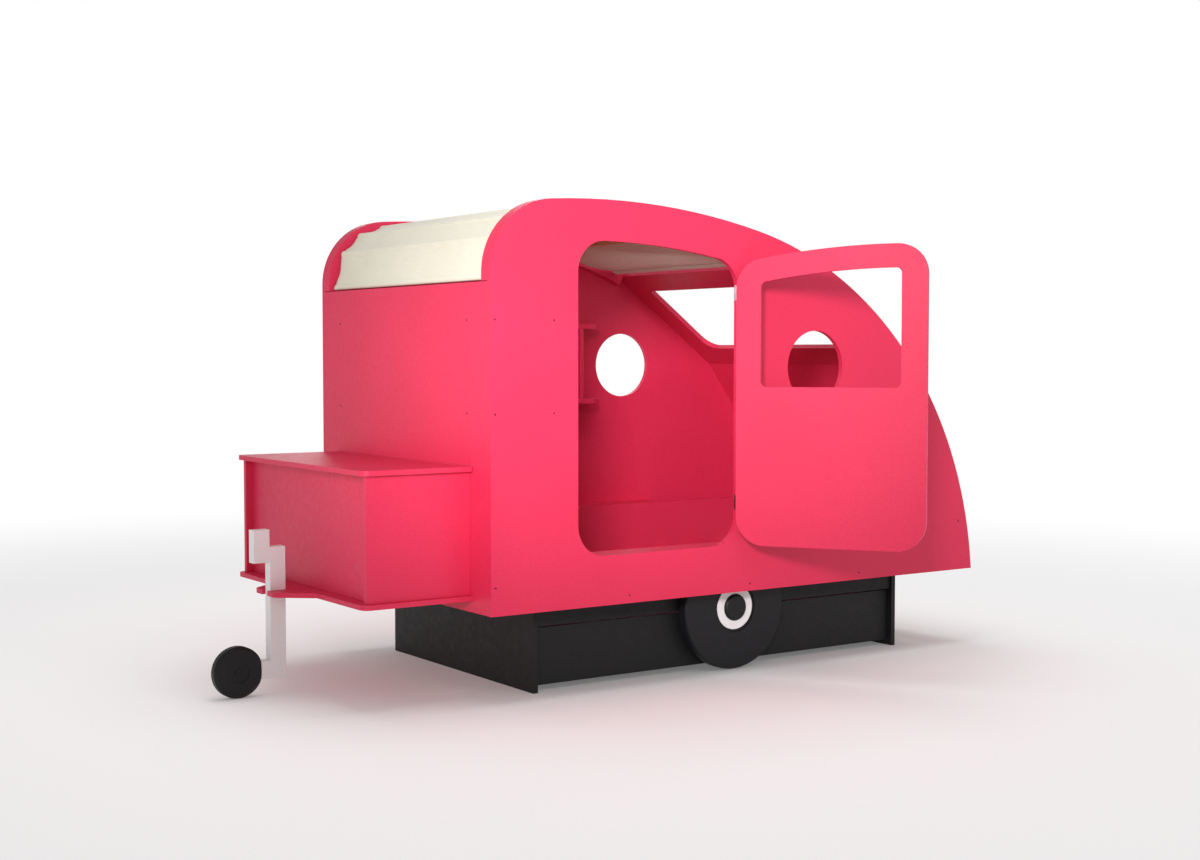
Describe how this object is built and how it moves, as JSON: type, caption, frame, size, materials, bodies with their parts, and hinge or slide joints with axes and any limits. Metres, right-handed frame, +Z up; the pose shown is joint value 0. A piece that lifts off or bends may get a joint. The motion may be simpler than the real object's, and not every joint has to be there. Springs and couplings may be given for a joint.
{
  "type": "caravan bed",
  "caption": "Child's bed shaped as a small caravan, with a hinged door, canvas roof on rods, shelves, a lidded tool box at the front and a rolling drawer under it.",
  "frame": {"origin": "on the floor under the middle of the base's front foot, in the plane of symmetry of the body", "axes": "+X towards the rounded tail, +Z up, -Y the side with the door"},
  "size_m": [2.7457, 1.7267, 1.5706],
  "materials": {
    "coral_lacquer": "satin lacquer",
    "canvas_cream": "plain cotton canvas",
    "base_grey": "satin lacquer",
    "black_lacquer": "satin lacquer",
    "white_lacquer": "satin lacquer",
    "steel": "brushed",
    "castor_plastic": "matt",
    "slat_wood": "plain"
  },
  "bodies": {
    "caravan": {"base_end_front": "base_grey", "base_end_rear": "base_grey", "base_plinth_far": "base_grey", "base_rail_far": "base_grey", "base_rail_near": "base_grey", "bed_ledge_far": "coral_lacquer", "bed_ledge_near": "coral_lacquer", "bed_rail_far": "coral_lacquer", "bed_rail_near": "coral_lacquer", "bed_slats": "slat_wood", "door_hinge_frame_leaves": "steel", "far_wheel_block": "base_grey", "far_wheel_hub": "black_lacquer", "far_wheel_ring": "white_lacquer", "far_wheel_tyre": "black_lacquer", "front_panel": "coral_lacquer", "hinge_pins": "steel", "jockey_post": "white_lacquer", "jockey_wheel": "black_lacquer", "lid_hinge_frame_leaves": "steel", "panel_screws": "steel", "rear_window_panel": "coral_lacquer", "roof_canvas": "canvas_cream", "roof_rib_far": "coral_lacquer", "roof_rib_near": "coral_lacquer", "roof_rods": "slat_wood", "shelf_divider": "coral_lacquer", "shelf_far_lower": "coral_lacquer", "shelf_far_upper": "coral_lacquer", "shelf_near_lower": "coral_lacquer", "shelf_near_upper": "coral_lacquer", "side_panel_far": "coral_lacquer", "side_panel_near": "coral_lacquer", "side_spacers": "coral_lacquer", "slat_cleats": "slat_wood", "tail_board_1": "coral_lacquer", "tail_board_2": "coral_lacquer", "tail_board_3": "coral_lacquer", "tail_board_4": "coral_lacquer", "toolbox_front": "coral_lacquer", "toolbox_plate": "coral_lacquer", "toolbox_side_far": "coral_lacquer", "toolbox_side_near": "coral_lacquer"},
    "door": {"door_leaf": "coral_lacquer", "door_hinge_door_leaves": "steel"},
    "lid": {"toolbox_lid": "coral_lacquer", "lid_hinge_lid_leaves": "steel"},
    "drawer": {"drawer_front": "base_grey", "drawer_back": "base_grey", "drawer_sides": "base_grey", "drawer_bottom": "base_grey", "castor_forks": "steel", "near_wheel_tyre": "black_lacquer", "near_wheel_ring": "white_lacquer", "near_wheel_hub": "black_lacquer", "near_wheel_block": "base_grey"},
    "castor_1": {"castor_roller_1": "castor_plastic"},
    "castor_2": {"castor_roller_2": "castor_plastic"},
    "castor_3": {"castor_roller_3": "castor_plastic"},
    "castor_4": {"castor_roller_4": "castor_plastic"}
  },
  "joints": [
    {"name": "door_hinge", "type": "hinge", "parent": "caravan", "child": "door", "pos_m": [0.7241, -0.59615, 0.937], "axis": [0, 0, 1], "range_deg": [-124.5, 45]},
    {"name": "lid_hinge", "type": "hinge", "parent": "caravan", "child": "lid", "pos_m": [-0.2368, 0, 0.733], "axis": [0, 1, 0], "range_deg": [0, 90]},
    {"name": "drawer_slide", "type": "slide", "parent": "caravan", "child": "drawer", "axis": [0, -1, 0], "range_m": [0, 0.7]},
    {"name": "castor_spin_1", "type": "hinge", "parent": "drawer", "child": "castor_1", "pos_m": [0.1025, -0.342, 0.022], "axis": [1, 0, 0], "continuous": true},
    {"name": "castor_spin_2", "type": "hinge", "parent": "drawer", "child": "castor_2", "pos_m": [0.1025, 0.3417, 0.022], "axis": [1, 0, 0], "continuous": true},
    {"name": "castor_spin_3", "type": "hinge", "parent": "drawer", "child": "castor_3", "pos_m": [1.4665, -0.342, 0.022], "axis": [1, 0, 0], "continuous": true},
    {"name": "castor_spin_4", "type": "hinge", "parent": "drawer", "child": "castor_4", "pos_m": [1.4665, 0.3417, 0.022], "axis": [1, 0, 0], "continuous": true}
  ],
  "couplings": [
    {"joint": "castor_spin_1", "follows": "drawer_slide", "rad_per_m": 45.455},
    {"joint": "castor_spin_2", "follows": "drawer_slide", "rad_per_m": 45.455},
    {"joint": "castor_spin_3", "follows": "drawer_slide", "rad_per_m": 45.455},
    {"joint": "castor_spin_4", "follows": "drawer_slide", "rad_per_m": 45.455}
  ]
}
